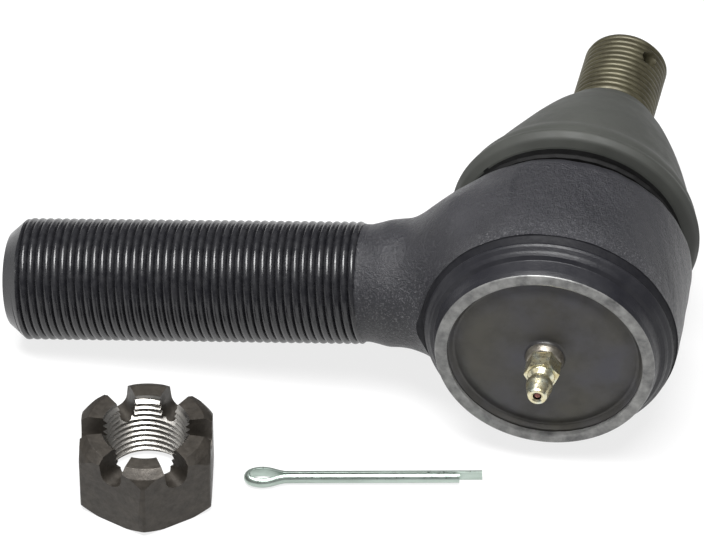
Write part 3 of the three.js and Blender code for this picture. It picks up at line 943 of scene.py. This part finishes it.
def build_nut():
    looks = [nut_steel(), cut_thread()]
    place = nut_frame()
    corner_r = NUT_FLATS / math.sqrt(3)
    nut = make_object("castle_nut_fine", *hexagon_bar(NUT_FLATS, 0, NUT_HEIGHT, 0.9), place, looks)
    outline = lathe(rounded([
        (0, 0), (NUT_FLATS / 2 + 0.5, 0, 0.5), (corner_r, 1.5, 1), (corner_r + 0.5, 2.2),
        (corner_r + 0.5, NUT_HEIGHT - 6), (corner_r - 0.4, NUT_HEIGHT - 3.6, 1.5),
        (17.6, NUT_HEIGHT - 1.7, 1.2), (15.2, NUT_HEIGHT, 0.3), (0, NUT_HEIGHT)]))
    combine(nut, "INTERSECT", make_object("nut_outline", *outline, place, looks))
    for k in range(6):
        slot_place, points, faces = slot_cutter(TURN / 12 + k * TURN / 6)
        combine(nut, "DIFFERENCE", make_object("slot", points, faces, slot_place, looks))
    bore = make_object("nut_bore", *threaded(-1, NUT_HEIGHT + 1, STUD_PITCH, nut_bore, 200, 20), place, looks)
    combine(nut, "DIFFERENCE", only(1)(bore))
    smooth(nut, SHARP)
    square_up(nut)
    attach(nut, "nut")
    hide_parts("castle_nut")


# ---------- pin ----------

def build_pin():
    """Half-round wire folded back on itself, swept as one strip with its flat side inward."""
    half = PIN_LENGTH / 2
    inner = PIN_SLIT / 2
    neck_at = -half + PIN_EYE_LENGTH
    eye = PIN_EYE_HALF - PIN_WIRE_R

    def side(sign, tip):
        return [(tip, sign * inner), (0, sign * inner),
                (neck_at + 3, sign * inner), (neck_at, sign * (inner + 0.25)),
                (neck_at - 3, sign * (eye - 0.25)), (neck_at - 5.2, sign * eye),
                (-half + PIN_WIRE_R + 0.7, sign * 1.1)]

    route = spline([*side(1, half), (-half + PIN_WIRE_R, 0), *side(-1, half - PIN_SHORT_BY)[::-1]], 10)
    ahead = np.gradient(route, axis=0)
    ahead /= np.linalg.norm(ahead, axis=1)[:, None]
    outward = np.stack([ahead[:, 1], -ahead[:, 0]], 1)
    if outward[0][1] < 0:
        outward = -outward
    curved_side = arc(0, 0, PIN_WIRE_R, 70, -70, 12)
    ring = rounded([(0, 1.02), (0, PIN_WIRE_R, 0.2), *curved_side, (0, -PIN_WIRE_R, 0.2), (0, -1.02)], 3)
    ring = [p for i, p in enumerate(ring) if i == 0 or math.dist(p, ring[i - 1]) > 0.02]
    points = []
    for place, out in zip(route, outward):
        for depth, up in ring:
            points.append((place[0] + out[0] * depth, place[1] + out[1] * depth, PIN_WIRE_R + up))
    n = len(ring)
    rows = len(route)
    faces = [(i * n + k, i * n + (k + 1) % n, (i + 1) * n + (k + 1) % n, (i + 1) * n + k)
             for i in range(rows - 1) for k in range(n)]
    faces += [tuple(range(n)), tuple(range((rows - 1) * n, rows * n))]
    pin = make_object("cotter_pin_fine", points, faces, pin_frame(), [pin_zinc()], 30)
    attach(pin, "pin")
    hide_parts("cotter_pin")


# ---------- inner pieces that keep their CAD shape ----------

def finish_nodes():
    for names, material in (
        (("upper_bearing", "lower_bearing"), bearing_polymer()),
        (("preload_spring", "grease_check_spring"), spring_steel()),
        (("boot_retaining_ring",), black_ring_painted_shade()),
        (("grease_check_ball",), check_ball_steel()),
    ):
        for name in names:
            mesh = frame["nodes"][name].data
            mesh.materials.clear()
            mesh.materials.append(material)


# ---------- stage ----------

def pale_floor():
    look = Look("pale_floor", (0.18, 0.18, 0.18), 0.7, specular=0.1)
    look.colour(look.ramp(look.noise(300, 2), (0.3, 0.175), (0.7, 0.185)))
    look.set("Emission Color", (1, 1, 1, 1))
    look.set("Emission Strength", 0.8)
    size = 4000
    points = [(-size, -size, -0.1), (size, -size, -0.1), (size, size, -0.1), (-size, size, -0.1)]
    mesh = bpy.data.meshes.new("floor")
    mesh.from_pydata([(x * MM, y * MM, z * MM) for x, y, z in points], [], [(0, 1, 2, 3)])
    mesh.materials.append(look.material)
    floor = bpy.data.objects.new("floor", mesh)
    bpy.context.collection.objects.link(floor)


def soft_sky():
    world = bpy.data.worlds.new("soft_sky")
    world.use_nodes = True
    bpy.context.scene.world = world
    tree = world.node_tree
    place = tree.nodes.new("ShaderNodeTexCoord")
    split = tree.nodes.new("ShaderNodeSeparateXYZ")
    ramp = tree.nodes.new("ShaderNodeValToRGB")
    tree.links.new(place.outputs["Generated"], split.inputs[0])
    tree.links.new(split.outputs["Z"], ramp.inputs["Fac"])
    ramp.color_ramp.elements[0].position = 0.1
    ramp.color_ramp.elements[0].color = (0.05, 0.05, 0.053, 1)
    ramp.color_ramp.elements[1].position = 0.9
    ramp.color_ramp.elements[1].color = (0.4, 0.4, 0.4, 1)
    background = tree.nodes["Background"]
    tree.links.new(ramp.outputs["Color"], background.inputs["Color"])
    background.inputs["Strength"].default_value = 0.8


def softbox(name, place, size, power):
    """A rectangular lamp that looks at the middle of the row frame."""
    data = bpy.data.lights.new(name, "AREA")
    data.shape = "RECTANGLE"
    data.size, data.size_y = size
    data.energy = power
    light = bpy.data.objects.new(name, data)
    aim = -Vector(place)
    light.matrix_world = Matrix.Translation(place) @ aim.to_track_quat("-Z", "Y").to_matrix().to_4x4()
    bpy.context.collection.objects.link(light)


def light_stage():
    soft_sky()
    softbox("overhead", (-0.1, -0.2, 1.4), (1.2, 0.55), 46)
    softbox("left_fill", (-1.4, -0.5, 1.0), (0.8, 0.8), 2)


build_housing()
build_cover()
build_fitting()
build_stud()
build_boot()
build_nut()
build_pin()
finish_nodes()
pale_floor()
light_stage()
bpy.context.scene.view_settings.view_transform = "Standard"
